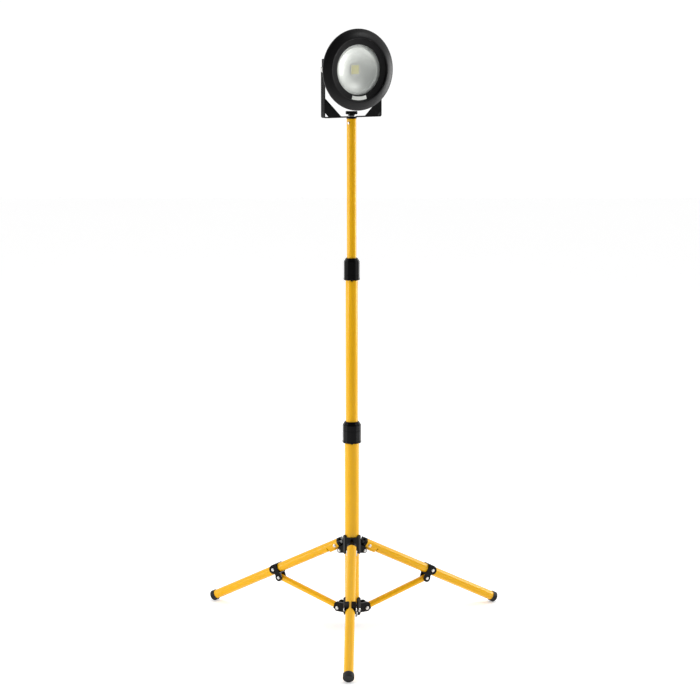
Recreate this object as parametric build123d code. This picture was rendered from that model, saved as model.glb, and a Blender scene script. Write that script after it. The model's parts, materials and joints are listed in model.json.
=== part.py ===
from build123d import *
import os
from math import atan2, cos, degrees, hypot, radians, sin

os.makedirs("parts", exist_ok=True)

# Tripod work light, opened out and standing on its feet.
# The origin is on the floor on the mast's axis, +Z is up and the front leg points to -Y.
# All sizes are in millimetres and all angles in degrees.

# fits
slip = 0.05               # radial gap of a pin, shaft or plug in its hole
loose = 0.4               # radial gap between pieces that slide past each other

# mast tubes
lower_tube_r = 19.0
mid_tube_r = 16.0
top_tube_r = 12.5
tube_wall = 1.2
mid_tube_bottom = 430.0
top_tube_bottom = 866.0
top_tube_top = 1363.0
bush_length = 15.0

# twist collars: bottom, split between fixed body and nut, top, radius over the corners
lower_collar = (507.7, 540.0, 564.8, 24.5)
upper_collar = (943.2, 957.0, 1001.0, 20.7)
collar_sides = 12
collar_taper = 9.5        # height of the sloping shoulder at the top of a nut
collar_step_in = 5.5      # how far that shoulder comes in
seam = 0.4                # gap between a nut and the body under it

# tripod
leg_azimuths = {"front": -90.0, "right": 30.0, "left": 150.0}
pad_azimuths = (90.0, 210.0, 330.0)
leg_r = 12.5
leg_slope = 27.28         # below the horizontal
leg_top = (39.8, 227.1)   # radius and height of the tube's upper end, on its axis
leg_length = 466.0
foot_end = 471.0
foot_r = 14.4
foot_cover = 16.0
pivot_along = 2.7         # leg pivot, along the leg and below its axis
pivot_below = 20.1
plug_rivet_along = 11.0
plug_rivet_below = 3.0
plug_end = 44.0
clamp_start = 214.0
clamp_rivet_along = 230.5
clamp_rivet_above = 1.5
brace_along = 225.5       # brace pivot on the leg, along it and below its axis
brace_below = 24.5
brace_r = 8.5
clamp_half = 15.2
lobe_half = 11.8
lug_half = 8.2
brace_pivot = (39.0, 47.0)   # radius and height of the brace's pivot on the base hub

# hubs
base_hub_bottom = 34.0
base_hub_top = 68.0
base_screw_height = 48.0
slide_hub_bottom = 214.0
slide_hub_top = 251.0
pin_r = 3.0
rivet_r = 2.5

# head and bracket
head_yaw = 31.8           # from -Y towards +X
head_forward = 4.0        # from the tilt axis to the origin of the head's depths
head_height = 1488.4      # tilt axis above the floor
bracket_base = 1366.1
bracket_half = 86.0
bracket_sheet = 3.0
strip_half = 9.0
arm_above_pivot = 28.0
gusset_leg = 48.0
spare_hole_spacing = 80.0
bezel_r = 104.0
crest_r = 82.0
window_r = 64.0
crest_depth = 39.0        # forward of the tilt axis
joint_depth = 26.0        # where the bezel meets the housing

BASE = (Align.CENTER, Align.CENTER, Align.MIN)


def save(node, *solids):
    shape = solids[0] if len(solids) == 1 else Compound(children=list(solids))
    export_step(shape, f"parts/{node}.step")


def rod(radius, low, high):
    return Pos(0, 0, low) * Cylinder(radius, high - low, align=BASE)


def sleeve(outer, inner, low, high):
    return rod(outer, low, high) - rod(inner, low, high)


def along(radius, start, end):
    """A rod along X."""
    return Pos((start + end) / 2, 0, 0) * Rot(0, 90, 0) * Cylinder(radius, end - start)


def across(radius, x, z, start, end):
    """A rod along Y."""
    return Pos(x, (start + end) / 2, z) * Rot(90, 0, 0) * Cylinder(radius, end - start)


def block(x, y, z):
    """A box between pairs of limits."""
    centre = Pos(sum(x) / 2, sum(y) / 2, sum(z) / 2)
    return centre * Box(x[1] - x[0], y[1] - y[0], z[1] - z[0])


def upright(sketch, half_width):
    """A sketch of radius and height, or of length and height, made into a plate about Y = 0."""
    return extrude(Plane.XZ * sketch, amount=half_width, both=True)


def rivet(x, z, half_grip, shank, head, crown):
    """A rivet across Y with a domed head at each end."""
    solid = across(shank, x, z, -half_grip, half_grip)
    for side in (-1, 1):
        solid += across(head, x, z, *sorted((side * half_grip, side * (half_grip + crown / 2))))
        solid += across(head * 0.7, x, z, *sorted((side * half_grip, side * (half_grip + crown))))
    return solid


def prism(radius, low, high):
    """A collar's many-sided outside."""
    return Pos(0, 0, low) * extrude(RegularPolygon(radius, collar_sides), amount=high - low)


# ---- mast ------------------------------------------------------------------------------------

def make_tubes():
    lower_top = lower_collar[1] - 2
    mid_top = upper_collar[1] - 2
    lower = sleeve(lower_tube_r, lower_tube_r - tube_wall, base_hub_bottom + 4, lower_top)
    for azimuth in pad_azimuths:
        lower -= Rot(0, 0, azimuth) * Pos(0, 0, base_screw_height) * along(2 + slip, 15, 22)
    save("lower_tube", lower)
    save("mid_tube", sleeve(mid_tube_r, mid_tube_r - tube_wall, mid_tube_bottom, mid_top))
    top = sleeve(top_tube_r, top_tube_r - tube_wall, top_tube_bottom, top_tube_top)
    top -= Rot(0, 0, 235) * Pos(0, 0, 1352) * along(2 + slip, 5, 15)
    save("top_tube", top)

    bush_gap = 0.3
    mid_bush_r = lower_tube_r - tube_wall - bush_gap
    top_bush_r = mid_tube_r - tube_wall - bush_gap
    mid_bush_top = mid_tube_bottom + bush_length
    top_bush_top = top_tube_bottom + bush_length
    save("mid_tube_bush", sleeve(mid_bush_r, mid_tube_r + slip, mid_tube_bottom, mid_bush_top))
    save("top_tube_bush", sleeve(top_bush_r, top_tube_r + slip, top_tube_bottom, top_bush_top))


def make_collar(prefix, sizes, outer_tube_r, inner_tube_r):
    bottom, split, top, corner_r = sizes
    spigot_r = outer_tube_r + 0.1
    spigot_top = top - 16
    bore_r = inner_tube_r + 0.35
    tube_top = split - 2

    body = prism(corner_r, bottom + 5, split) + prism(corner_r + 0.6, bottom, bottom + 5)
    body += rod(spigot_r, split, spigot_top)
    body += Rot(0, 0, -88) * block((outer_tube_r, corner_r + 1.2), (-2, 2), (bottom - 2, bottom + 6))
    body -= rod(outer_tube_r + slip, bottom - 3, tube_top)
    body -= rod(bore_r, tube_top - 1, top)
    save(f"{prefix}_collar_body", body)

    shoulder = top - collar_taper
    cavity_r = spigot_r + loose
    lip_r = inner_tube_r + loose
    nut = prism(corner_r, split + seam, shoulder)
    nut += loft([
        Pos(0, 0, shoulder) * RegularPolygon(corner_r, collar_sides),
        Pos(0, 0, top) * RegularPolygon(corner_r - collar_step_in, collar_sides),
    ])
    nut -= rod(cavity_r, split, shoulder)
    nut -= Pos(0, 0, shoulder) * Cone(cavity_r, lip_r + 0.7, collar_taper - 1.3, align=BASE)
    nut -= rod(lip_r, split, top + 1)
    save(f"{prefix}_collar_nut", nut)

    grip_r = inner_tube_r + slip
    collet = rod(spigot_r - 0.6, spigot_top + 0.3, shoulder - 0.5)
    collet += Pos(0, 0, shoulder - 0.5) * Cone(spigot_r - 0.6, lip_r + 0.9, 5.5, align=BASE)
    collet -= rod(grip_r, spigot_top, top)
    collet -= block((0, corner_r), (-1, 1), (spigot_top, top))
    save(f"{prefix}_collar_collet", collet)


# ---- hubs ------------------------------------------------------------------------------------

def pads(outer_r, low, high):
    """Upright pads between the legs, each with a round top and bottom."""
    face = Pos(0, (low + high) / 2) * SlotOverall(high - low, 12, rotation=90)
    pad = extrude(Plane.YZ * face, amount=outer_r)
    return [Rot(0, 0, azimuth) * pad for azimuth in pad_azimuths]


def pad_screws(outer_r, height):
    """Pan-head screws, one through each pad into the tube."""
    screw = along(2, 16.5, outer_r) + along(5.3, outer_r, outer_r + 1.2) + along(4.2, outer_r, outer_r + 2.2)
    screw -= block((outer_r + 1.4, outer_r + 3), (-0.6, 0.6), (-4.5, 4.5))
    return [Rot(0, 0, azimuth) * Pos(0, 0, height) * screw for azimuth in pad_azimuths]


def make_base_hub():
    pivot_r, pivot_z = brace_pivot
    gap_half = 9.0
    cheek_half = 13.5
    pad_r = 23.5
    hub = rod(22.5, base_hub_bottom, base_hub_top)
    for pad in pads(pad_r, base_hub_bottom, 83):
        hub += pad
    for azimuth in leg_azimuths.values():
        cheeks = upright(Pos(33, 51) * RectangleRounded(30, 26, 8), cheek_half)
        cheeks += upright(Pos(21, 51) * Rectangle(8, 26), cheek_half)
        cheeks -= block((22.5, 60), (-gap_half, gap_half), (30, 70))
        cheeks -= across(pin_r + slip, pivot_r, pivot_z, -20, 20)
        hub += Rot(0, 0, azimuth) * cheeks
    hub -= rod(lower_tube_r + slip, base_hub_bottom + 4, 90)
    hub -= rod(9, 30, 40)
    for azimuth in pad_azimuths:
        hub -= Rot(0, 0, azimuth) * Pos(0, 0, base_screw_height) * along(2 + slip, 15, 30)
    save("base_hub", hub)
    save("base_hub_screws", *pad_screws(pad_r, base_screw_height))

    stubs = []
    for azimuth in leg_azimuths.values():
        for side in (-1, 1):
            stub = across(pin_r, pivot_r, pivot_z, *sorted((side * gap_half, side * cheek_half)))
            stub += across(5, pivot_r, pivot_z, *sorted((side * cheek_half, side * (cheek_half + 1))))
            stub += across(3.5, pivot_r, pivot_z, *sorted((side * cheek_half, side * (cheek_half + 2))))
            stubs.append(Rot(0, 0, azimuth) * stub)
    save("base_hub_rivets", *stubs)


def leg_point(distance, below):
    """Radius and height of a point given along a leg and below its axis."""
    c, s = cos(radians(leg_slope)), sin(radians(leg_slope))
    return leg_top[0] + distance * c - below * s, leg_top[1] - distance * s - below * c


def make_slide_hub():
    pivot_r, pivot_z = leg_point(pivot_along, pivot_below)
    gap_half = lug_half + 0.3
    cheek_half = 12.4
    tube_gap = 0.35
    knob_height = 226
    hub = rod(23.2, slide_hub_bottom, slide_hub_top)
    for pad in pads(24.2, 204, 256):
        hub += pad
    hub += Rot(0, 0, 90) * Pos(0, 0, knob_height) * along(9, 15, 30)
    for azimuth in leg_azimuths.values():
        outline = make_hull((Pos(pivot_r, pivot_z) * Circle(6.4) + Pos(20, 214) * Rectangle(8, 20)).edges())
        cheeks = upright(outline, cheek_half)
        cheeks -= block((23.2, 60), (-gap_half, gap_half), (190, 250))
        cheeks -= across(pin_r + slip, pivot_r, pivot_z, -20, 20)
        hub += Rot(0, 0, azimuth) * cheeks
    hub -= rod(lower_tube_r + tube_gap, 190, 260)
    hub -= Rot(0, 0, 90) * Pos(0, 0, knob_height) * along(4 + slip, 10, 40)
    save("slide_hub", hub)

    pins = [Rot(0, 0, azimuth) * rivet(pivot_r, pivot_z, cheek_half, pin_r, 4.2, 2)
            for azimuth in leg_azimuths.values()]
    save("slide_hub_pins", *pins)

    knob = along(4, 19.5, 44) + along(16, 36, 38) + along(9, 30.6, 36)
    lobes = Pos(38) * Rot(0, 90, 0) * extrude(lobed_disc(12.5, 6, 2.4), amount=12)
    knob = knob + lobes
    save("lock_knob", Rot(0, 0, 90) * Pos(0, 0, knob_height) * knob)


def lobed_disc(radius, count, bite):
    """A knob's outline, a disc with round bites for the fingers."""
    disc = Circle(radius + 2)
    for turn in range(count):
        disc -= Rot(0, 0, 360 * turn / count) * Pos(radius + 4.6) * Circle(bite * 2)
    return disc


# ---- legs and braces -------------------------------------------------------------------------

def make_leg(name, azimuth):
    place = Rot(0, 0, azimuth) * Pos(leg_top[0], 0, leg_top[1]) * Rot(0, leg_slope, 0)
    bore_r = leg_r - tube_wall

    tube = along(leg_r, 0, leg_length)
    swell = block((15, 36), (-8, 8), (-15.3, -6))
    tube += fillet(swell.edges().group_by(Axis.Z)[0], 2.5)
    tube -= along(bore_r, -1, leg_length + 1)
    tube -= block((37.2, 39.4), (-20, 20), (-9.5, -1.5))
    for distance, above in ((plug_rivet_along, -plug_rivet_below), (clamp_rivet_along, clamp_rivet_above)):
        tube -= across(rivet_r + slip, distance, above, -20, 20)
    save(f"leg_{name}_tube", place * tube)

    lug = make_hull((
        Pos(pivot_along, -pivot_below) * Circle(6)
        + Pos(-4, -9) * Rectangle(8, 6)
    ).edges())
    plug = along(12.8, -8, 0) + along(bore_r - slip, 0, plug_end) + upright(lug, lug_half)
    plug -= along(leg_r + slip, 0, plug_end) - along(bore_r - slip, 0, plug_end)
    plug += block((-13, 0), (-5.5, 5.5), (4, 12.4))
    plug -= along(5, 4, plug_end)
    plug -= across(pin_r + slip, pivot_along, -pivot_below, -20, 20)
    plug -= across(rivet_r + slip, plug_rivet_along, -plug_rivet_below, -20, 20)
    save(f"leg_{name}_plug", place * plug)

    foot = along(foot_r, foot_end - foot_cover, foot_end)
    foot = fillet(foot.edges().sort_by(Axis.X)[-1], 3)
    foot -= along(leg_r + slip, foot_end - foot_cover - 1, leg_length)
    foot = place * foot
    foot -= Pos(0, 0, -20) * Box(1400, 1400, 40)
    save(f"leg_{name}_foot", foot)

    save(f"leg_{name}_clamp", place * clamp())

    rivets = [
        rivet(plug_rivet_along, -plug_rivet_below, leg_r, rivet_r, 4, 2),
        rivet(clamp_rivet_along, clamp_rivet_above, clamp_half, rivet_r, 4.6, 2),
        rivet(brace_along, -brace_below, lobe_half, rivet_r, 4.6, 2),
    ]
    save(f"leg_{name}_rivets", *[place * piece for piece in rivets])


def clamp():
    """The bracket round a leg, split along its top, with two cheeks for the brace below."""
    wrap = 14.5
    gap_half = brace_r + 0.4
    end = clamp_rivet_along
    middle = (clamp_start + end) / 2
    upper = Pos(middle, 0) * Rectangle(end - clamp_start, 2 * wrap)
    upper += Pos(end, clamp_rivet_above) * Circle(12)
    lower = make_hull((
        Pos(brace_along, -brace_below) * Circle(10.2)
        + Pos(middle, -12.5) * Rectangle(end - clamp_start, 4)
    ).edges())
    body = upright(upper, clamp_half)
    cheeks = upright(lower, lobe_half)
    cheeks -= block((190, 260), (-gap_half, gap_half), (-60, -wrap))
    body += cheeks
    body -= along(leg_r + slip, 190, 260)
    body -= block((190, 260), (-3, 3), (0, 30))
    body -= across(rivet_r + slip, clamp_rivet_along, clamp_rivet_above, -20, 20)
    body -= across(rivet_r + slip, brace_along, -brace_below, -20, 20)
    return body


def make_brace(name, azimuth):
    upper_r, upper_z = leg_point(brace_along, brace_below)
    run = hypot(upper_r - brace_pivot[0], upper_z - brace_pivot[1])
    slope = degrees(atan2(upper_z - brace_pivot[1], upper_r - brace_pivot[0]))
    place = Rot(0, 0, azimuth) * Pos(upper_r, 0, upper_z) * Rot(0, 180 - slope, 0)
    tube_end = run - 14

    round_end = along(brace_r, -brace_r, 0.01) & across(brace_r, 0, 0, -brace_r, brace_r)
    tube = along(brace_r, 0, tube_end) + round_end
    tube -= along(brace_r - tube_wall, -5, tube_end + 1)
    tube -= across(rivet_r + slip, 0, 0, -20, 20)
    save(f"brace_{name}_tube", place * tube)

    knuckle = across(brace_r, run, 0, -8.6, 8.6) + block((tube_end, run), (-8.6, 8.6), (-8.5, 8.5))
    plug = along(brace_r - tube_wall - slip, tube_end - 20, tube_end)
    knuckle += plug
    knuckle -= across(pin_r + 0.1, run, 0, -20, 20)
    save(f"brace_{name}_end", place * knuckle)


# ---- top of the mast -------------------------------------------------------------------------

def make_mast_top():
    plug = rod(top_tube_r - tube_wall - slip, top_tube_top - 28, top_tube_top)
    plug += rod(13.6, top_tube_top, bracket_base - 0.1)
    plug -= rod(4 + slip, 1300, 1400)
    plug -= Rot(0, 0, 235) * Pos(0, 0, 1352) * along(2 + slip, 5, 15)
    save("top_plug", plug)

    screw = along(2, 5.5, top_tube_r) + along(3.6, top_tube_r, top_tube_r + 1)
    screw += along(2.8, top_tube_r, top_tube_r + 1.8)
    save("top_plug_screw", Rot(0, 0, 235) * Pos(0, 0, 1352) * screw)
    save("bracket_stud", rod(4, 1338, 1381))
    washer_base = bracket_base + bracket_sheet
    save("bracket_washer", sleeve(11, 4.35, washer_base, washer_base + 1.2))

    bar = Pos(0, 0, 1378) * extrude(SlotOverall(31, 11), amount=4.3, both=True)
    bar = fillet(bar.edges().filter_by(Plane.XY), 2)
    knob = rod(8.75, washer_base + 1.4, 1377) + bar
    knob -= rod(4 + slip, 1360, 1382)
    save("bracket_knob", Rot(0, 0, -3) * knob)


# ---- bracket ---------------------------------------------------------------------------------

def make_bracket():
    half = bracket_half
    inner = half - bracket_sheet
    top = head_height + arm_above_pivot
    arm_height = top - bracket_base
    outside = Pos(0, bracket_base + arm_height / 2) * Rectangle(2 * half, arm_height)
    outside = fillet(outside.vertices().group_by(Axis.Y)[0], 5)
    floor = bracket_base + bracket_sheet
    inside = Pos(0, floor + arm_height / 2) * Rectangle(2 * inner, arm_height)
    inside = fillet(inside.vertices().group_by(Axis.Y)[0], 2)
    strip = upright(outside - inside, strip_half)

    ear = head_height + 7
    strip -= block((-100, 100), (4, 20), (ear, top + 1))
    nose = Polyline((-20, ear), (-strip_half, ear), (-3, top), (-3, top + 5), (-20, top + 5), close=True)
    strip -= extrude(Plane.YZ * make_face(nose), amount=100, both=True)

    relief = 10.0
    for side in (-1, 1):
        corner = side * inner
        web = Polyline(
            (corner, floor + relief), (corner, floor + gusset_leg), (corner - side * gusset_leg, floor),
            (corner - side * relief, floor), close=True)
        gusset = extrude(Plane.XZ * make_face(web), amount=1, both=True)
        strip += Pos(0, 1 - strip_half, 0) * gusset
        rib = block(sorted((side * half, side * (half + 0.8))), (-1.5, 1.5), (1382, 1470))
        strip += rib
        strip -= Pos(side * spare_hole_spacing / 2, 0, 0) * rod(3.3, 1360, 1375)
    strip -= rod(4 + slip, 1360, 1375)
    strip -= Pos(0, 0, head_height) * along(pin_r + slip, -100, 100)
    save("bracket", Rot(0, 0, head_yaw) * strip)


# ---- lamp head -------------------------------------------------------------------------------
# Head pieces are built about the beam axis. Depth is measured forward along it, from a point
# head_forward in front of the tilt axis.

tilt_place = Pos(0, 0, head_height) * Rot(0, 0, head_yaw)
head_place = tilt_place * Pos(0, -head_forward, 0)


def turned(*outline):
    """A ring or disc about the beam axis, from edges or points of radius and depth."""
    points = [(radius, -depth) for radius, depth in outline]
    return revolve(make_face(Polyline(*points, close=True)), Axis.Y, 360)


def beam_rod(radius, x, z, back, front):
    return across(radius, x, z, -front, -back)


drum_r = 46.0
drum_back = -38.0
pivot_boss = 81.3
bezel_screw_circle = 75.5
cover_screw_circle = 41.0
gland_drop = -24.0
cover_back = drum_back - 4


def around(count, radius, start=0.0):
    """Places round the beam axis."""
    spots = []
    for step in range(count):
        angle = radians(start + 360 * step / count)
        spots.append((radius * cos(angle), radius * sin(angle)))
    return spots


def make_housing():
    fin_count = 24
    shell = turned((0, 4), (0, 12), (66.5, 12), (66.5, joint_depth), (80, joint_depth),
                   (80, 21.5), (71, 21.5), (71, 4))
    shell += turned((drum_r - 3, drum_back), (drum_r - 3, 5), (drum_r, 5), (drum_r, drum_back))
    fin_edge = Polyline((drum_r - 1, -5), (70.5, -5), (70.5, 0), (63, 30), (drum_r - 1, 33), close=True)
    fin = extrude(make_face(fin_edge), amount=1.25, both=True)
    for step in range(fin_count):
        shell += Rot(0, 360 * (step + 0.5) / fin_count, 0) * fin
    for side in (-1, 1):
        shell += Pos(0, head_forward, 0) * along(11, *sorted((side * (drum_r - 1), side * pivot_boss)))
        shell -= Pos(0, head_forward, 0) * along(pin_r + slip, *sorted((side * 67, side * (pivot_boss + 1))))
    for x, z in around(4, cover_screw_circle):
        shell += beam_rod(4, x, z, drum_back, -20)
        shell -= beam_rod(1.65, x, z, drum_back - 1, -27)
    for x, z in around(6, bezel_screw_circle, 30):
        shell -= beam_rod(1.65, x, z, 15, 30)
    save("housing", head_place * shell)


def make_bezel():
    rim_front = joint_depth + 4
    rim_edge = (bezel_r, -rim_front)
    crest = (crest_r, -crest_depth)
    flare = ThreePointArc(rim_edge, (bezel_r - 9, -rim_front - 5.2), crest)
    rest = Polyline(
        crest, (crest_r - 1.6, -crest_depth + 0.6), (79.2, -34.4), (window_r, -33.4), (window_r, -31),
        (70, -31), (70, -joint_depth), (79, -joint_depth), (79, -30), (84, -33.5), (100, -27.5),
        (100, -joint_depth), (bezel_r, -joint_depth), rim_edge)
    bezel = revolve(make_face(flare + rest), Axis.Y, 360)
    screws_made = []
    for x, z in around(6, bezel_screw_circle, 30):
        bezel -= beam_rod(1.65, x, z, 20, 30)
        screw = beam_rod(1.6, x, z, 21.5, 29.5) + beam_rod(3, x, z, 19, 21.5)
        screws_made.append(head_place * screw)
    save("bezel", head_place * bezel)
    save("bezel_screws", *screws_made)


def make_optics():
    save("lens", head_place * turned((0, 27), (0, 31), (69.6, 31), (69.6, 27)))
    save("lens_gasket", head_place * turned((66.6, 26), (66.6, 27), (69.6, 27), (69.6, 26)))

    rim, lip = (56, -25.9), (66.3, -25.9)
    hole = (19.5, -14.2)
    bowl = ThreePointArc(hole, (40, -18.2), rim)
    under = ThreePointArc((55.6, -24.9), (40.3, -17.2), (19.5, -13.9))
    shell = Polyline(rim, lip, (66.3, -24.9), (55.6, -24.9)) + Line((19.5, -13.9), hole)
    save("reflector", head_place * revolve(make_face(bowl + shell + under), Axis.Y, 360))
    save("led_board", head_place * block((-22, 22), (-13.6, -12), (-22, 22)))
    save("led_emitter", head_place * block((-13, 13), (-14.8, -13.6), (-13, 13)))


def make_rear():
    save("driver", head_place * block((-31, 31), (3, 31), (-20, 20)))
    cover = turned((0, cover_back - 3), (0, drum_back), (48, drum_back), (48, cover_back + 2),
                   (46, cover_back), (34, cover_back), (31, cover_back - 3))
    cover -= beam_rod(8 + slip, 0, gland_drop, -60, -30)
    cover_screws = []
    for x, z in around(4, cover_screw_circle):
        cover -= beam_rod(1.65, x, z, -60, -30)
        screw = beam_rod(1.6, x, z, -42, -28) + beam_rod(3.2, x, z, -44.2, -42)
        cover_screws.append(head_place * screw)
    save("rear_cover", head_place * cover)
    save("rear_cover_screws", *cover_screws)

    seat = cover_back - 3
    outline = Plane.XZ * Pos(0, gland_drop) * RegularPolygon(10.5, 6)
    gland = Pos(0, -seat, 0) * extrude(outline, amount=-5)
    gland += beam_rod(8, 0, gland_drop, seat, -33)
    gland += beam_rod(9, 0, gland_drop, seat - 12, seat - 5)
    gland += beam_rod(7, 0, gland_drop, seat - 16, seat - 12)
    gland -= beam_rod(4, 0, gland_drop, -70, -30)
    save("cable_gland", head_place * gland)
    nut = Pos(0, -drum_back, 0) * extrude(Plane.XZ * Pos(0, gland_drop) * RegularPolygon(10.5, 6), amount=4)
    save("gland_nut", head_place * (nut - beam_rod(8 + slip, 0, gland_drop, -50, -20)))


def make_pivots():
    bolts = []
    washers = []
    for side in (-1, 1):
        inside = side * (bracket_half - bracket_sheet)
        outside = side * bracket_half
        bolt = along(pin_r, *sorted((side * 68, outside + side * 0.3)))
        bolt += along(6.5, *sorted((outside + side * 0.3, outside + side * 1.3)))
        bolt += along(4.6, *sorted((outside + side * 1.3, outside + side * 3.6)))
        bolts.append(tilt_place * bolt)
        washer = along(9, *sorted((side * pivot_boss, inside - side * 0.2)))
        washer -= along(pin_r + slip, -100, 100)
        washers.append(tilt_place * washer)
    save("pivot_bolts", *bolts)
    save("pivot_washers", *washers)


make_tubes()
make_collar("lower", lower_collar, lower_tube_r, mid_tube_r)
make_collar("upper", upper_collar, mid_tube_r, top_tube_r)
make_base_hub()
make_slide_hub()
for leg, turn in leg_azimuths.items():
    make_leg(leg, turn)
    make_brace(leg, turn)
make_mast_top()
make_bracket()
make_housing()
make_bezel()
make_optics()
make_rear()
make_pivots()
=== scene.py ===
import json
import math

import bmesh
import bpy
from mathutils import Matrix, Vector

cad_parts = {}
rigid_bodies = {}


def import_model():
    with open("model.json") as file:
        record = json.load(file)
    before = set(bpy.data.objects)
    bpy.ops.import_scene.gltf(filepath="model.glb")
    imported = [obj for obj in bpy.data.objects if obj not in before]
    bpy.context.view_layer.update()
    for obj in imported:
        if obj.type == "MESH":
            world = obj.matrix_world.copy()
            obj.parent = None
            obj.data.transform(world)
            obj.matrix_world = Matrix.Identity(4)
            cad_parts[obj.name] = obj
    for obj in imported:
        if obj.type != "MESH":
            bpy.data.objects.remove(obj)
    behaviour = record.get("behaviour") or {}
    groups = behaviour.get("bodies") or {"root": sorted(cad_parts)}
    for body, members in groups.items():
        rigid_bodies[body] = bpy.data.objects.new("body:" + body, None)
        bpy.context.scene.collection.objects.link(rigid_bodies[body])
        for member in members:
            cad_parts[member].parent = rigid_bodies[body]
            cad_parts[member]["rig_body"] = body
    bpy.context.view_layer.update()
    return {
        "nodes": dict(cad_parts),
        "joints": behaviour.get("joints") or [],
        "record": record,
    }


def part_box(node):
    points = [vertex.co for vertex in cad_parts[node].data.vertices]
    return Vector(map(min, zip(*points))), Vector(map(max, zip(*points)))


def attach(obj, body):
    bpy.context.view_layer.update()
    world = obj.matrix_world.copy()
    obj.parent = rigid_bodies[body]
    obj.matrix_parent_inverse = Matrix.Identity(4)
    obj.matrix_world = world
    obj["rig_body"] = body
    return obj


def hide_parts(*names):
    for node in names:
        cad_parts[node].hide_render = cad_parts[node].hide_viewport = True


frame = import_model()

print("stage: frame loaded")

mm = 0.001
nodes = frame["nodes"]
joints = {joint["name"]: joint for joint in frame["joints"]}
legTurns = {"front": -90, "right": 30, "left": 150}


def place(origin=(0, 0, 0), turn=0, roll=0):
    # a place in the object's frame: rolled about X, then turned about Z, in degrees
    spin = Matrix.Rotation(math.radians(turn), 4, "Z")
    twist = Matrix.Rotation(math.radians(roll), 4, "X")
    return Matrix.Translation(origin) @ spin @ twist


# camera, floor and light

view = {
    "eye": (0.1000, -5.0580, 1.6461),    # metres
    "heading": 1.186,        # degrees to the left of +Y
    "pitch": 9.976,          # degrees below the horizon
    "roll": 0.07,            # degrees clockwise
    "lens": 100.25,          # millimetres
    "reach": 60,             # metres that the camera sees
}


def makeCamera(v):
    camera = bpy.data.objects.new("camera", bpy.data.cameras.new("camera"))
    bpy.context.scene.collection.objects.link(camera)
    camera.data.lens = v["lens"]
    camera.data.clip_end = v["reach"]
    camera.location = v["eye"]
    aim = place(turn=v["heading"]) @ place(roll=90 - v["pitch"])
    camera.rotation_euler = (aim @ Matrix.Rotation(math.radians(-v["roll"]), 4, "Z")).to_euler()
    bpy.context.scene.camera = camera


studio = {
    "front": 0.10,           # brightness of the world behind the camera
    "low": 0.40,             # and below the horizon there
    "back": 1.04,            # and on the side it looks towards
    "lowToFront": (-0.02, 0.12),     # heights between which low becomes front
    "frontToBack": (-0.65, 0.15),    # directions along Y between which front becomes back
    "floorHalf": 12.0,       # half the floor's side, in metres
    "aim": (0, 0, 0.8),      # where every lamp points
    "keyLight": (-3.2, -1.2, 1.1, 1.8, 46),      # x, y, z, size, watts
    "rimLight": (3.1, 1.0, 1.0, 1.6, 50),
    "topLight": (0.2, 0.2, 5.2, 3.0, 20),
    "highLeft": (-2.9, -1.0, 3.2, 0.5, 9),
    "highRight": (2.9, -1.0, 3.2, 0.5, 9),
}


def makeStudio(s):
    bpy.context.scene.view_settings.view_transform = "Standard"
    world = bpy.data.worlds.new("studio")
    bpy.context.scene.world = world
    world.use_nodes = True
    world.node_tree.nodes.clear()
    sky = Tree(world.node_tree)
    direction = sky.node("ShaderNodeTexCoord", out="Generated")
    depth = sky.node("ShaderNodeSeparateXYZ", {}, [direction], out="Y")
    height = Wire(sky, depth.socket.node.outputs["Z"])
    soft = {"interpolation_type": "SMOOTHSTEP"}
    start, end = s["lowToFront"]
    front = sky.node("ShaderNodeMapRange", soft, {
        "Value": height, "From Min": start, "From Max": end, "To Min": s["low"], "To Max": s["front"]})
    start, end = s["frontToBack"]
    shade = sky.node("ShaderNodeMapRange", soft, {
        "Value": depth, "From Min": start, "From Max": end, "To Min": front, "To Max": s["back"]})
    glow = sky.node("ShaderNodeBackground", {}, {"Color": paint(1, 1, 1), "Strength": shade})
    sky.node("ShaderNodeOutputWorld", {}, [glow])
    half = s["floorHalf"]
    sheet = bpy.data.meshes.new("floor")
    corners = [(-half, -half, 0), (half, -half, 0), (half, half, 0), (-half, half, 0)]
    sheet.from_pydata(corners, [], [(0, 1, 2, 3)])
    floor = bpy.data.objects.new("floor", sheet)
    bpy.context.scene.collection.objects.link(floor)
    sheet.materials.append(floorPaper())
    for name in ("keyLight", "rimLight", "topLight", "highLeft", "highRight"):
        x, y, z, size, watts = s[name]
        lamp = bpy.data.objects.new(name, bpy.data.lights.new(name, "AREA"))
        lamp.data.size = size
        lamp.data.energy = watts
        lamp.location = (x, y, z)
        lamp.visible_camera = False
        aim = Vector(s["aim"]) - Vector((x, y, z))
        lamp.rotation_euler = aim.to_track_quat("-Z", "Y").to_euler()
        bpy.context.scene.collection.objects.link(lamp)


# node trees written as expressions

class Wire:
    # a node's output, with arithmetic that adds Math nodes
    def __init__(self, tree, socket):
        self.tree = tree
        self.socket = socket

    def join(self, operation, first, second):
        return self.tree.join(operation, first, second)

    def __add__(self, other):
        return self.join("ADD", self, other)

    def __mul__(self, other):
        return self.join("MULTIPLY", self, other)

    __radd__ = __add__
    __rmul__ = __mul__


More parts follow.
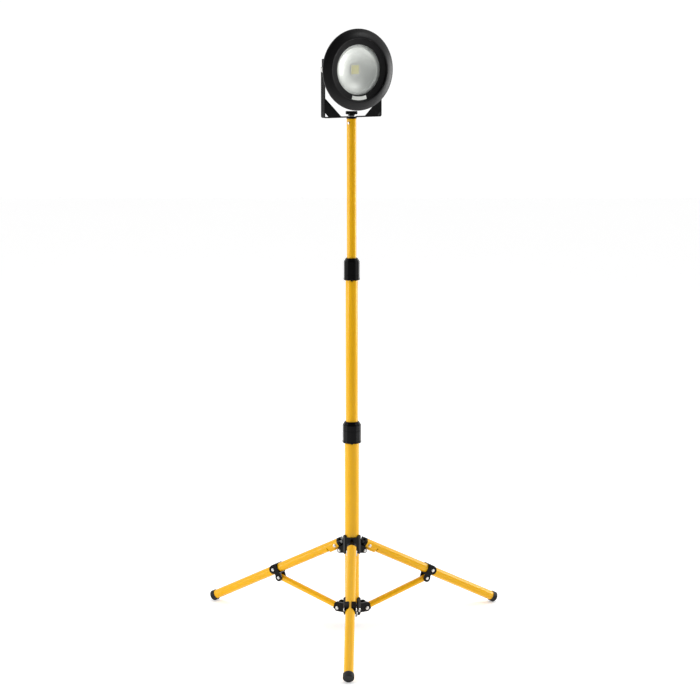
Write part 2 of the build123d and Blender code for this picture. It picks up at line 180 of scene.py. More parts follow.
class Tree:
    # a node tree, filled by one method
    def __init__(self, tree):
        self.tree = tree

    def node(self, kind, settings=None, values=(), out=0):
        made = self.tree.nodes.new(kind)
        for key, value in (settings or {}).items():
            if key == "stops":
                self.setStops(made.color_ramp, value)
            else:
                setattr(made, key, value)
        pairs = values.items() if isinstance(values, dict) else enumerate(values)
        for key, value in pairs:
            if value is None:
                continue
            if isinstance(value, Wire):
                self.tree.links.new(value.socket, made.inputs[key])
            else:
                made.inputs[key].default_value = value
        return Wire(self, made.outputs[out]) if len(made.outputs) else made

    def join(self, operation, first, second):
        return self.node("ShaderNodeMath", {"operation": operation}, [first, second])

    def setStops(self, ramp, stops):
        while len(ramp.elements) < len(stops):
            ramp.elements.new(1)
        for element, (position, shade) in zip(ramp.elements, stops):
            element.position = position
            element.color = (shade, shade, shade, 1) if isinstance(shade, (int, float)) else shade


class Finish(Tree):
    # a material with one Principled shader
    def __init__(self, name):
        self.material = bpy.data.materials.new(name)
        self.material.use_nodes = True
        super().__init__(self.material.node_tree)
        self.tree.nodes.clear()
        self.where = self.node("ShaderNodeTexCoord", out="Object")

    def noise(self, size, detail=2.0, rough=0.5, stretch=(1, 1, 1)):
        # patches of about that size, in millimetres
        scaled = self.node("ShaderNodeMapping", {}, {"Vector": self.where, "Scale": stretch})
        values = {"Vector": scaled, "Scale": 1 / (size * mm), "Detail": detail, "Roughness": rough}
        return self.node("ShaderNodeTexNoise", {}, values)

    def ramp(self, factor, stops):
        return self.node("ShaderNodeValToRGB", {"stops": stops}, [factor])

    def mix(self, factor, first, second):
        # inputs 6 and 7 and output 2 of a Mix node are its colours
        values = {0: factor, 6: first, 7: second}
        return self.node("ShaderNodeMix", {"data_type": "RGBA"}, values, out=2)

    def bump(self, height, depth, strength=1.0, under=None):
        values = {"Height": height, "Distance": depth * mm, "Strength": strength, "Normal": under}
        return self.node("ShaderNodeBump", {}, values)

    def shader(self, **values):
        named = {key.replace("_", " "): value for key, value in values.items()}
        skin = self.node("ShaderNodeBsdfPrincipled", {}, named)
        self.node("ShaderNodeOutputMaterial", {}, [skin])
        return self.material


def paint(r, g, b):
    return (r, g, b, 1)


def floorPaper():
    # white paper with painted shade that makes it darker towards -Y, well in front of the stand, and a
    # painted glow that lifts the rest to white
    f = Finish("floorPaper")
    depth = f.node("ShaderNodeSeparateXYZ", {}, [f.where], out="Y")
    shade = f.node("ShaderNodeMapRange", {"interpolation_type": "SMOOTHSTEP"},
                   {"Value": depth, "From Min": -4.0, "From Max": -0.8})
    tone = f.mix(f.noise(900), paint(0.93, 0.93, 0.93), paint(0.95, 0.95, 0.95))
    # painted glow: the paper emits light so it reads white, less where the painted shade lies
    glow = f.mix(shade, paint(0.15, 0.15, 0.15), paint(1, 1, 1))
    # painted shade: a dark grey tone well in front of the stand
    shaded = f.mix(shade, paint(0.36, 0.36, 0.36), tone)
    return f.shader(Base_Color=shaded, Roughness=0.9, Emission_Color=glow, Emission_Strength=0.30)


def yellowCoat():
    f = Finish("yellowCoat")
    speck = f.ramp(f.noise(1.6, 1), [(0.74, 0.0), (0.80, 1.0)])
    base = f.mix(f.noise(60, 3), paint(0.87, 0.45, 0.003), paint(0.93, 0.49, 0.004))
    tone = f.mix(speck * 0.10, base, paint(0.55, 0.27, 0.01))
    peel = f.bump(f.noise(2.2, 2), 0.02, 0.5)
    rubbed = f.ramp(f.noise(14, 4, 0.65, (1, 1, 0.4)), [(0.45, 0.15), (0.75, 0.24)])
    return f.shader(Base_Color=tone, Roughness=rubbed, Specular_IOR_Level=0.28, Normal=peel)


def blackMoulding():
    f = Finish("blackMoulding")
    tone = f.mix(f.noise(18, 3), paint(0.0016, 0.0016, 0.0017), paint(0.0032, 0.0032, 0.0034))
    sheen = f.ramp(f.noise(5, 4, 0.6), [(0.4, 0.09), (0.8, 0.16)])
    skin = f.bump(f.noise(0.6, 2), 0.006, 0.4)
    sink = f.bump(f.noise(9, 1), 0.04, 0.3, skin)
    return f.shader(Base_Color=tone, Roughness=sheen, Specular_IOR_Level=0.14, Normal=sink)


def blackCasting():
    f = Finish("blackCasting")
    tone = f.mix(f.noise(30, 3), paint(0.0028, 0.0028, 0.0034), paint(0.0055, 0.0053, 0.0061))
    sheen = f.ramp(f.noise(8, 4, 0.6), [(0.35, 0.29), (0.8, 0.37)])
    grain = f.bump(f.noise(0.9, 3, 0.6), 0.02, 0.5)
    return f.shader(Base_Color=tone, Roughness=sheen, Specular_IOR_Level=0.27, Normal=grain)


def blackSteel():
    f = Finish("blackSteel")
    tone = f.mix(f.noise(25, 3), paint(0.0028, 0.0028, 0.0030), paint(0.0055, 0.0055, 0.0058))
    sheen = f.ramp(f.noise(6, 4, 0.6), [(0.35, 0.27), (0.8, 0.38)])
    peel = f.bump(f.noise(1.8, 2), 0.02, 0.4)
    return f.shader(Base_Color=tone, Roughness=sheen, Specular_IOR_Level=0.14, Normal=peel)


def footRubber():
    f = Finish("footRubber")
    dust = f.ramp(f.noise(7, 5, 0.7), [(0.5, 0.0), (0.85, 1.0)])
    tone = f.mix(dust * 0.4, paint(0.006, 0.006, 0.006), paint(0.030, 0.029, 0.027))
    sheen = f.ramp(f.noise(4, 3), [(0.3, 0.45), (0.8, 0.65)])
    grain = f.bump(f.noise(0.7, 3), 0.03, 0.5)
    return f.shader(Base_Color=tone, Roughness=sheen, Specular_IOR_Level=0.4, Normal=grain)


def zincPlate():
    f = Finish("zincPlate")
    bloom = f.noise(3, 4, 0.6)
    tone = f.mix(bloom, paint(0.60, 0.60, 0.60), paint(0.78, 0.77, 0.74))
    sheen = f.ramp(bloom, [(0.3, 0.24), (0.8, 0.42)])
    grain = f.bump(f.noise(0.5, 2), 0.01, 0.5)
    return f.shader(Base_Color=tone, Metallic=1.0, Roughness=sheen, Normal=grain)


def naturalNylon():
    f = Finish("naturalNylon")
    tone = f.mix(f.noise(6, 3), paint(0.70, 0.67, 0.58), paint(0.78, 0.76, 0.69))
    return f.shader(Base_Color=tone, Roughness=0.42, Normal=f.bump(f.noise(0.6), 0.02, 0.5))


def clearLens():
    f = Finish("clearLens")
    haze = f.ramp(f.noise(35, 4, 0.6), [(0.3, 0.13), (0.8, 0.18)])
    return f.shader(Base_Color=paint(0.86, 0.90, 0.88), Roughness=0.05, Alpha=haze)


def satinReflector():
    f = Finish("satinReflector")
    bloom = f.noise(12, 4, 0.6)
    tone = f.mix(bloom, paint(0.80, 0.82, 0.78), paint(0.87, 0.89, 0.85))
    sheen = f.ramp(bloom, [(0.3, 0.38), (0.8, 0.46)])
    peel = f.bump(f.noise(1.4, 2), 0.03, 0.6)
    return f.shader(Base_Color=tone, Metallic=0.9, Roughness=sheen, Normal=peel)


def phosphor():
    f = Finish("phosphor")
    grain = f.noise(0.8, 3)
    tone = f.mix(grain, paint(0.93, 0.87, 0.36), paint(1.0, 0.95, 0.48))
    return f.shader(Base_Color=tone, Roughness=0.35, Normal=f.bump(grain, 0.03, 0.5))


def solderMask():
    f = Finish("solderMask")
    tone = f.mix(f.noise(5, 3), paint(0.78, 0.79, 0.74), paint(0.86, 0.86, 0.82))
    return f.shader(Base_Color=tone, Roughness=0.3, Normal=f.bump(f.noise(0.8), 0.01, 0.5))


def driverCase():
    f = Finish("driverCase")
    grain = f.noise(2, 4, 0.6, (1, 1, 0.08))
    tone = f.mix(grain, paint(0.50, 0.51, 0.52), paint(0.62, 0.62, 0.63))
    return f.shader(Base_Color=tone, Metallic=1.0, Roughness=f.ramp(grain, [(0.3, 0.3), (0.8, 0.45)]))


finishes = {               # by the slot's name in the frame
    "yellow_paint": yellowCoat(),
    "black_plastic": blackMoulding(),
    "zinc_steel": zincPlate(),
    "natural_nylon": naturalNylon(),
    "rubber_foot": footRubber(),
    "gasket_rubber": footRubber(),
    "black_steel": blackSteel(),
    "black_casting": blackCasting(),
    "clear_lens": clearLens(),
    "reflector_metal": satinReflector(),
    "board_metal": solderMask(),
    "phosphor": phosphor(),
    "driver_case": driverCase(),
}
slotOf = {part["node"]: part["material_slot"] for part in frame["record"]["subparts"]}


def dressNodes():
    # every node of the frame gets its finish
    for name, node in nodes.items():
        node.data.materials.clear()
        node.data.materials.append(finishes[slotOf[name]])


# mesh helpers

cornerShare = 0.48     # most of a line's length that one rounded corner may take
tight = 0.3            # radius of a crisp corner
onAxis = 1e-4          # a radius below this is a pole


def softLine(points, radius=0.5, closed=True, steps=4):
    # an outline with its corners rounded; a point may carry its own radius as a third value
    result = []
    count = len(points)
    for index, point in enumerate(points):
        here = Vector(point[:2])
        corner = point[2] if len(point) > 2 else radius
        if corner == 0 or (not closed and index in (0, count - 1)):
            result.append(here)
            continue
        before = Vector(points[index - 1][:2]) - here
        after = Vector(points[(index + 1) % count][:2]) - here
        turn = math.pi - before.angle(after)
        reach = min(corner * math.tan(turn / 2), cornerShare * before.length, cornerShare * after.length)
        start = here + before.normalized() * reach
        end = here + after.normalized() * reach
        for step in range(steps + 1):
            t = step / steps
            result.append((1 - t) ** 2 * start + 2 * t * (1 - t) * here + t * t * end)
    return result


def skinBetween(mesh, rows, closed):
    # faces between neighbouring rows of corners; a row of one corner is a pole
    pairs = list(zip(rows, rows[1:])) + ([(rows[-1], rows[0])] if closed else [])
    faces = []
    for first, second in pairs:
        count = max(len(first), len(second))
        for step in range(count):
            after = (step + 1) % count
            ring = [first[step % len(first)], first[after % len(first)],
                    second[after % len(second)], second[step % len(second)]]
            corners = list(dict.fromkeys(ring))
            if len(corners) > 2:
                faces.append(mesh.faces.new(corners))
    bmesh.ops.recalc_face_normals(mesh, faces=faces)
    return faces


def lathe(mesh, outline, at=Matrix(), steps=64, closed=True):
    # turns an outline of radius and height about Z, in millimetres
    rows = []
    for radius, height in outline:
        count = steps if radius > onAxis else 1
        row = []
        for step in range(count):
            angle = math.tau * step / steps
            spot = Vector((radius * math.cos(angle), radius * math.sin(angle), height)) * mm
            row.append(mesh.verts.new(at @ spot))
        rows.append(row)
    return skinBetween(mesh, rows, closed)


def plate(mesh, outline, low, high, at=Matrix(), edge=0.5):
    # an outline in X and Y drawn out from low to high, with rounded edges
    base = [mesh.verts.new(at @ (Vector((p[0], p[1], low)) * mm)) for p in outline]
    top = [mesh.verts.new(at @ (Vector((p[0], p[1], high)) * mm)) for p in outline]
    lids = [mesh.faces.new(base), mesh.faces.new(top)]
    sides = skinBetween(mesh, [base, top], False)
    bmesh.ops.recalc_face_normals(mesh, faces=lids + sides)
    if edge:
        rims = list({side for lid in lids for side in lid.edges})
        bmesh.ops.bevel(mesh, geom=rims, offset=edge * mm, segments=3, profile=0.6,
                        affect="EDGES", clamp_overlap=False)


def settle(name, data, finish, body, replaced=(), sharp=35):
    # a finished mesh becomes a piece that rides on its body
    data.name = name
    data.materials.clear()
    data.materials.append(finishes[finish])
    for face in data.polygons:
        face.use_smooth = True
        face.material_index = 0
    if sharp:
        data.set_sharp_from_angle(angle=math.radians(sharp))
    piece = bpy.data.objects.new(name, data)
    bpy.context.scene.collection.objects.link(piece)
    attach(piece, body)
    if replaced:
        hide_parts(*replaced)
    return piece


def newPiece(name, mesh, finish, body, replaced=(), sharp=35):
    # faces that meet at more than sharp degrees keep a crease
    data = bpy.data.meshes.new(name)
    mesh.to_mesh(data)
    mesh.free()
    return settle(name, data, finish, body, replaced, sharp)


def holderOf(mesh, name="holder"):
    # an object for modifiers to work on
    data = bpy.data.meshes.new(name)
    mesh.to_mesh(data)
    mesh.free()
    holder = bpy.data.objects.new(name, data)
    bpy.context.scene.collection.objects.link(holder)
    return holder


def baked(holder):
    # the plain mesh of an object with its modifiers; the object itself is removed
    bpy.context.view_layer.update()
    graph = bpy.context.evaluated_depsgraph_get()
    data = bpy.data.meshes.new_from_object(holder.evaluated_get(graph))
    bpy.data.objects.remove(holder)
    return data


def cutAway(solid, cutter):
    # one mesh less another
    body, knife = holderOf(solid), holderOf(cutter, "knife")
    cut = body.modifiers.new("cut", "BOOLEAN")
    cut.operation = "DIFFERENCE"
    cut.solver = "EXACT"
    cut.object = knife
    data = baked(body)
    bpy.data.objects.remove(knife)
    return data


merging = {
    "distance": 0.002,     # millimetres between corners that are one
    "flat": 0.2,           # degrees between faces that are one
    "edge": 25,            # degrees at which an edge gets rounded
}


def welded(node, whole=True):
    # a merged copy of a CAD node's mesh, with each flat face whole where wanted
    mesh = bmesh.new()
    mesh.from_mesh(nodes[node].data)
    bmesh.ops.remove_doubles(mesh, verts=mesh.verts, dist=merging["distance"] * mm)
    if whole:
        limit = math.radians(merging["flat"])
        bmesh.ops.dissolve_limit(mesh, angle_limit=limit, verts=mesh.verts, edges=mesh.edges)
    return mesh


def softened(node, width, clamp=False):
    # a copy of a CAD node with its edges rounded and its flats left flat, which replaces it
    holder = holderOf(welded(node))
    for face in holder.data.polygons:
        face.use_smooth = True
    rounding = holder.modifiers.new("rounding", "BEVEL")
    rounding.width = width * mm
    rounding.segments = 3
    rounding.limit_method = "ANGLE"
    rounding.angle_limit = math.radians(merging["edge"])
    rounding.use_clamp_overlap = clamp
    rounding.miter_outer = "MITER_ARC"
    flats = holder.modifiers.new("flats", "WEIGHTED_NORMAL")
    flats.mode = "FACE_AREA_WITH_ANGLE"
    return settle(node + "_moulded", baked(holder), slotOf[node], bodyOf(node), [node], sharp=0)


def smoothed(node):
    # a merged copy of a drawn tube, smooth all round
    mesh = welded(node, whole=False)
    return newPiece(node + "_drawn", mesh, slotOf[node], bodyOf(node), [node], sharp=30)


def bodyOf(node):
    return nodes[node]["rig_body"]


def islands(node):
    # the corners of each separate solid in a node, in order of place
    mesh = welded(node)
    left = set(mesh.verts)
    groups = []
    while left:
        queue = [left.pop()]
        group = []
        while queue:
            vert = queue.pop()
            group.append(vert.co.copy())
            for side in vert.link_edges:
                other = side.other_vert(vert)
                if other in left:
                    left.remove(other)
                    queue.append(other)
        groups.append(group)
    mesh.free()
    return sorted(groups, key=lambda group: tuple(middle(group)))


def middle(corners):
    # the middle of the corners' box
    low = Vector([min(corner[axis] for corner in corners) for axis in range(3)])
    high = Vector([max(corner[axis] for corner in corners) for axis in range(3)])
    return (low + high) / 2


# geometry nodes

def nodeTree(name, wanted):
    # an empty geometry tree with a mesh in, a mesh out and the named inputs
    tree = bpy.data.node_groups.new(name, "GeometryNodeTree")
    tree.interface.new_socket("Geometry", in_out="INPUT", socket_type="NodeSocketGeometry")
    for title, kind in wanted.items():
        tree.interface.new_socket(title, in_out="INPUT", socket_type="NodeSocket" + kind)
    tree.interface.new_socket("Geometry", in_out="OUTPUT", socket_type="NodeSocketGeometry")
    build = Tree(tree)
    start = tree.nodes.new("NodeGroupInput")
    return build, {socket.name: Wire(build, socket) for socket in start.outputs if socket.name}


def finishTree(build, copies, finish):
    solid = build.node("GeometryNodeRealizeInstances", {}, [copies])
    coated = build.node("GeometryNodeSetMaterial", {}, {"Geometry": solid, "Material": finish})
    build.node("NodeGroupOutput", {}, [coated])
    return build.tree


def scatterTree():
    # a copy of the seed on every point, its Z along the point's own direction
    build, given = nodeTree("fastenersOnPoints", {"Seed": "Object", "Size": "Float", "Finish": "Material"})
    seed = build.node("GeometryNodeObjectInfo", {}, {"Object": given["Seed"]}, out="Geometry")
    kind = {"data_type": "FLOAT_VECTOR"}
    facing = build.node("GeometryNodeInputNamedAttribute", kind, {"Name": "facing"})
    turned = build.node("FunctionNodeAlignRotationToVector", {"axis": "Z"}, {"Vector": facing})
    values = {"Points": given["Geometry"], "Instance": seed, "Rotation": turned, "Scale": given["Size"]}
    return finishTree(build, build.node("GeometryNodeInstanceOnPoints", {}, values), given["Finish"])


def ringTree():
    # copies of the seed turned about Z at even steps
    wanted = {"Seed": "Object", "Count": "Int", "Start": "Float", "Finish": "Material"}
    build, given = nodeTree("copiesRoundAxis", wanted)
    seed = build.node("GeometryNodeObjectInfo", {}, {"Object": given["Seed"]}, out="Geometry")
    points = build.node("GeometryNodePoints", {}, {"Count": given["Count"]})
    share = build.join("DIVIDE", build.node("GeometryNodeInputIndex"), given["Count"])
    spin = build.node("ShaderNodeCombineXYZ", {}, {"Z": share * math.tau + given["Start"]})
    turned = build.node("FunctionNodeEulerToRotation", {}, [spin])
    values = {"Points": points, "Instance": seed, "Rotation": turned}
    return finishTree(build, build.node("GeometryNodeInstanceOnPoints", {}, values), given["Finish"])


def grow(tree, data, values):
    # runs a geometry tree on a mesh and gives back the plain result
    holder = bpy.data.objects.new("grown", data)
    bpy.context.scene.collection.objects.link(holder)
    modifier = holder.modifiers.new("grow", "NODES")
    modifier.node_group = tree
    for item in tree.interface.items_tree:
        if item.in_out == "INPUT" and item.name in values:
            modifier[item.identifier] = values[item.name]
    return baked(holder)


def onSpots(seed, spots, finish, size=1.0):
    # a copy of the seed at each position and direction
    data = bpy.data.meshes.new("spots")
    data.from_pydata([spot for spot, aim in spots], [], [])
    facing = data.attributes.new("facing", "FLOAT_VECTOR", "POINT")
    for index, (spot, aim) in enumerate(spots):
        facing.data[index].vector = aim
    return grow(trees["scatter"], data, {"Seed": seed, "Size": size, "Finish": finishes[finish]})


def roundAxis(seed, count, finish, at, start=0.0):
    # copies of the seed about Z, then put in place
    values = {"Seed": seed, "Count": count, "Start": math.radians(start), "Finish": finishes[finish]}
    data = grow(trees["ring"], bpy.data.meshes.new("ring"), values)
    data.transform(at)
    return data


def seedOf(mesh, name):
    # a model for the geometry trees to copy, removed when the pieces are made
    seed = holderOf(mesh, name)
    for face in seed.data.polygons:
        face.use_smooth = True
    seeds.append(seed)
    return seed


def joined(mesh, data):
    # adds plain mesh data to a mesh that is being made
    mesh.from_mesh(data)
    bpy.data.meshes.remove(data)


trees = {"scatter": scatterTree(), "ring": ringTree()}
seeds = []

makeCamera(view)
makeStudio(studio)
dressNodes()
print("stage: camera, light and finishes")

# fasteners

fastener = {
    # outlines of heads of radius 1, as radius and height
    "rivet": [(0, -0.2), (0.9, -0.2), (1.0, -0.05), (1.0, 0.1), (0.93, 0.275), (0.78, 0.41), (0.55, 0.5),
              (0.34, 0.48), (0.238, 0.36), (0, 0.34)],
    "screw": [(0, -0.2), (0.96, -0.2), (1.0, 0), (1.0, 0.14), (0.94, 0.3), (0.75, 0.44), (0.4, 0.5),
              (0, 0.5)],
    "rise": 0.5,                    # height of both heads
    "recess": (0.62, 0.17, 0.28),   # a screw's cross recess: reach, half width and depth
    "cutter": 0.2,                  # how far the recess's cutter stands above the head
    "shankEnd": 0.6,                # from the top of the head down to the end of the shank, in radii
    # radius of the head and of the shank, in millimetres
    "legRivet": (4.5, 2.5), "hubPin": (4.2, 3.0), "baseRivet": (5.0, 3.0), "baseScrew": (5.2, 2.0),
    "plugScrew": (3.5, 2.0), "bezelScrew": (3.0, 1.6), "coverScrew": (3.2, 1.6),
}


def rivetHead(f):
    # a domed head with a rolled edge and a shallow dimple
    mesh = bmesh.new()
    lathe(mesh, f["rivet"], steps=28, closed=False)
    return seedOf(mesh, "rivetHead")


def screwHead(f):
    # a pan head with a cross recess
    reach, half, depth = f["recess"]
    solid = bmesh.new()
    lathe(solid, f["screw"], steps=32, closed=False)
    cross = bmesh.new()
    arms = [(reach, -half), (reach, half), (half, half), (half, reach), (-half, reach), (-half, half),
            (-reach, half), (-reach, -half), (-half, -half), (-half, -reach), (half, -reach), (half, -half)]
    plate(cross, arms, f["rise"] - depth, f["rise"] + f["cutter"], edge=0)
    mesh = bmesh.new()
    joined(mesh, cutAway(solid, cross))
    return seedOf(mesh, "screwHead")


rivetSeed = rivetHead(fastener)
screwSeed = screwHead(fastener)


def pinned(node, seed, size, directions):
    # heads on the ends of each solid of a node, and the shank between them
    radius, shank = size
    mesh = bmesh.new()
    spots = []
    for corners in islands(node):
        centre = middle(corners)
        aims = directions(centre)
        half = max((corner - centre).dot(aims[0]) for corner in corners)
        for aim in aims:
            spots.append((centre + aim * (half - radius * fastener["rise"] * mm), aim))
        axis = Matrix.Translation(centre) @ aims[0].to_track_quat("Z", "Y").to_matrix().to_4x4()
        back = -half / mm
        front = half / mm - fastener["shankEnd"] * radius
        lathe(mesh, [(0, back), (shank, back), (shank, front), (0, front)], axis, 24, closed=False)
    joined(mesh, onSpots(seed, spots, slotOf[node], radius))
    return newPiece(node + "_set", mesh, slotOf[node], bodyOf(node), [node])


def acrossLeg(centre):
    # both directions across the nearest leg, starting with the one on the fastener's own side
    azimuth = math.degrees(math.atan2(centre.y, centre.x))
    turn = min(legTurns.values(), key=lambda leg: abs((azimuth - leg + 180) % 360 - 180))
    side = Vector((-math.sin(math.radians(turn)), math.cos(math.radians(turn)), 0))
    if centre.dot(side) < 0:
        side = -side
    return [side, -side]


def oneSide(centre):
    return acrossLeg(centre)[:1]


def outward(centre):
    return [Vector((centre.x, centre.y, 0)).normalized()]


def backward(centre):
    # every screw of the head is driven from behind
    return [-beamAim]


def makeFasteners(f):
    for leg in legTurns:
        pinned(f"leg_{leg}_rivets", rivetSeed, f["legRivet"], acrossLeg)
    pinned("slide_hub_pins", rivetSeed, f["hubPin"], acrossLeg)
    pinned("base_hub_rivets", rivetSeed, f["baseRivet"], oneSide)
    pinned("base_hub_screws", screwSeed, f["baseScrew"], outward)
    pinned("top_plug_screw", screwSeed, f["plugScrew"], outward)
    pinned("bezel_screws", screwSeed, f["bezelScrew"], backward)
    pinned("rear_cover_screws", screwSeed, f["coverScrew"], backward)


# head: its outlines are turned about the beam, with depths towards the front

headForward = 4.0      # from the tilt axis to where the depths start
headJoint = 26.0       # depth of the joint between bezel and housing
drumBack = -38.0       # depth of the joint between housing and rear cover

tilt = joints["head_tilt"]
headTurn = math.degrees(math.atan2(-tilt["axis"][1], -tilt["axis"][0]))
tiltPlace = place(tilt["pos_m"], turn=headTurn)
forward = Matrix.Translation((0, -headForward * mm, 0))
beamPlace = tiltPlace @ forward @ Matrix.Rotation(math.pi / 2, 4, "X")
beamAim = (beamPlace.to_3x3() @ Vector((0, 0, 1))).normalized()


def bend(start, through, end, steps):
    # points of a smooth curve through three points
    control = 2 * Vector(through) - 0.5 * (Vector(start) + Vector(end))
    points = []
    for step in range(steps + 1):
        t = step / steps
        points.append((1 - t) ** 2 * Vector(start) + 2 * t * (1 - t) * control + t * t * Vector(end))
    return points


bezel = {
    # radius and depth of each turned step, from the outer rim inwards
    "rimBack": (104.0, 28.5), "rimFront": (104.0, 30.0), "flare": (95.0, 35.2), "crest": (82.0, 39.0),
    "crestIn": (80.2, 38.6), "ring": (79.2, 34.4), "window": (64.0, 33.4), "glassSeat": (70.0, 31.0),
    "spigot": (79.0, 30.0), "hollow": ((84.0, 33.5), (100.0, 27.5)),
    "taper": 0.2,          # how much less the rim measures at the joint
    "sides": 160,
}


def makeBezel(b):
    rim, seat, spigot = b["rimBack"][0], b["glassSeat"], b["spigot"]
    inside, outside = b["hollow"]
    flare = bend(b["rimFront"], b["flare"], b["crest"], 14)
    inner = softLine([
        flare[-1], (*b["crestIn"], 0.8), (*b["ring"], 0.7), (*b["window"], 1.0),
        (b["window"][0], seat[1], tight), (*seat, tight), (seat[0], headJoint, tight),
        (spigot[0], headJoint, tight), (*spigot, 1.0), (*inside, 2.0), (*outside, 1.0),
        (outside[0], headJoint, tight), (rim - b["taper"], headJoint), b["rimBack"],
    ], closed=False)
    mesh = bmesh.new()
    lathe(mesh, flare + inner[1:], beamPlace, b["sides"])
    newPiece("bezel_turned", mesh, "black_casting", "head", ["bezel"], sharp=30)


badge = {
    "inner": 67.6, "outer": 77.2,      # its two radii
    "half": 17,                        # half its angle, in degrees
    "back": 33.2, "rise": 0.45,        # depth of its back, and height above the ring
    "edge": 0.25,
    "steps": 16,
}


def makeBadge(b):
    # a plain curved plate on the ring round the window
    low, turn = math.radians(-90 - b["half"]), math.radians(2 * b["half"])
    turns = [low + turn * step / b["steps"] for step in range(b["steps"] + 1)]
    outline = [(b["outer"] * math.cos(t), b["outer"] * math.sin(t)) for t in turns]
    outline += [(b["inner"] * math.cos(t), b["inner"] * math.sin(t)) for t in reversed(turns)]
    mesh = bmesh.new()
    plate(mesh, outline, b["back"], bezel["ring"][1] + b["rise"], beamPlace, b["edge"])
    newPiece("badge_plate", mesh, "reflector_metal", "head")


lens = {"radius": 69.6, "back": 27.0, "front": 31.0, "edge": 0.7, "sides": 128}


def makeLens(g):
    radius, back, front, edge = g["radius"], g["back"], g["front"], g["edge"]
    disc = softLine([(0, front), (radius, front, edge), (radius, back, edge), (0, back)], closed=False)
    mesh = bmesh.new()
    lathe(mesh, disc, beamPlace, g["sides"], closed=False)
    newPiece("lens_glass", mesh, "clear_lens", "head", ["lens"])


reflector = {
    # radius and depth
    "bowl": ((19.5, 14.2), (40.0, 18.2), (56.0, 25.9)),       # the inside: hole, a point between, rim
    "under": ((55.6, 24.9), (40.3, 17.2), (19.5, 13.9)),      # the outside, back to the hole
    "shoulder": 56.9, "lip": 66.3,     # radii where the rim turns level, and where it ends
    "sides": 144,
}


def makeReflector(r):
    bowl = bend(*r["bowl"], 26)
    under = bend(*r["under"], 18)
    front, back = r["bowl"][-1][1], r["under"][0][1]
    rolled = softLine([bowl[-1], (r["shoulder"], front, 0.5), (r["lip"], front, tight),
                       (r["lip"], back, tight), r["under"][0]], closed=False)
    mesh = bmesh.new()
    lathe(mesh, bowl + rolled[1:] + under[1:], beamPlace, r["sides"])
    newPiece("reflector_spun", mesh, "reflector_metal", "head", ["reflector"], sharp=50)


board = {
    "half": 22.0, "corner": 2.5, "low": 12.0, "high": 13.6, "edge": 0.2,
    "emitterHalf": 13.0, "emitterFront": 14.8, "emitterCorner": 2.2, "emitterEdge": 0.35,
    "dam": 1.6, "damCorner": 1.2, "damFloor": 0.5,      # the wall round the phosphor
    "cutter": 1.0,                    # how far the dam's cutter stands out in front
    "phosphor": (0.45, 0.25, 0.02),   # above the board, below the dam's front, and the gap round it
    "phosphorEdge": 0.1,
    "pad": (1.6, 3.2, 0.5),           # a solder pad: half width, half length and corner
    "padPlace": (18.0, 6.0),          # where it is, across and along
    "padRise": 0.15, "padSink": 0.2, "padEdge": 0.1,
}


def square(half, corner):
    return softLine([(half, -half), (half, half), (-half, half), (-half, -half)], corner, steps=6)


def makeBoard(b):
    high, front = b["high"], b["emitterFront"]
    mesh = bmesh.new()
    plate(mesh, square(b["half"], b["corner"]), b["low"], high, beamPlace, b["edge"])
    newPiece("led_board_plate", mesh, "board_metal", "head", ["led_board"])

    within = b["emitterHalf"] - b["dam"]
    dam = bmesh.new()
    plate(dam, square(b["emitterHalf"], b["emitterCorner"]), high, front, beamPlace, b["emitterEdge"])
    hollow = bmesh.new()
    inside = square(within, b["damCorner"])
    plate(hollow, inside, high + b["damFloor"], front + b["cutter"], beamPlace, edge=0)
    settle("emitter_dam", cutAway(dam, hollow), "board_metal", "head")

    above, below, gap = b["phosphor"]
    glow = bmesh.new()
    fill = square(within - gap, b["damCorner"])
    plate(glow, fill, high + above, front - below, beamPlace, b["phosphorEdge"])
    newPiece("emitter_phosphor", glow, "phosphor", "head", ["led_emitter"])

    pads = bmesh.new()
    wide, long, corner = b["pad"]
    across, along = b["padPlace"]
    for side in (-1, 1):
        middleX, middleY = side * across, side * along
        outline = softLine([(middleX + wide * x, middleY + long * y)
                            for x, y in ((1, -1), (1, 1), (-1, 1), (-1, -1))], corner)
        plate(pads, outline, high - b["padSink"], high + b["padRise"], beamPlace, b["padEdge"])
    newPiece("board_pads", pads, "zinc_steel", "head")


housing = {
    # the shell from its floor outwards and back: radius, depth and corner
    "shell": [(0, 12, 0), (66.5, 12, 1.5), (66.5, headJoint, 0.4), (80, headJoint, 0.4), (80, 21.5, 1.2),
              (71, 21.5, 1.5), (71, 4, 3), (46, 4, 2.5), (46, drumBack, 0.6), (43, drumBack, 0.4),
              (43, 4, 1.5), (0, 4, 0)],
    "fin": [(45, 5.5), (70.5, 5.5), (70.5, 0), (63, -30), (45, -33)],     # radius and depth
    "finCorner": 2.5, "finHalf": 1.25, "finEdge": 0.6, "fins": 24,
    # a boss of the tilt axis: radius, distance from the middle, and corner
    "boss": [(3.1, 62, 0.2), (3.1, 81.3, 0.3), (10, 81.3, 0.8), (11, 73.3, 1), (11.8, 44, 0.5),
             (3.1, 44, 0.3)],
    "sides": 144, "bossSides": 56,
}


def makeHousing(h):
    mesh = bmesh.new()
    lathe(mesh, softLine(h["shell"], closed=False), beamPlace, h["sides"], closed=False)

    fin = bmesh.new()
    upright = Matrix.Rotation(math.pi / 2, 4, "X")
    plate(fin, softLine(h["fin"], h["finCorner"]), -h["finHalf"], h["finHalf"], upright, h["finEdge"])
    finSeed = seedOf(fin, "fin")
    joined(mesh, roundAxis(finSeed, h["fins"], "black_casting", beamPlace, 180 / h["fins"]))

    for side in (-1, 1):
        sideways = Matrix.Rotation(side * math.pi / 2, 4, "Y")
        lathe(mesh, softLine(h["boss"]), tiltPlace @ sideways, h["bossSides"])
    newPiece("housing_casting", mesh, "black_casting", "head", ["housing"])


cover = {
    # from the middle of its back outwards: radius, depth and corner
    "line": [(0, -45, 0), (31, -45, 1.5), (34, -42, 1.2), (46, -42, 1.0), (48, -40, 1), (48, drumBack, 0.3),
             (0, drumBack, 0)],
    "sides": 128,
}


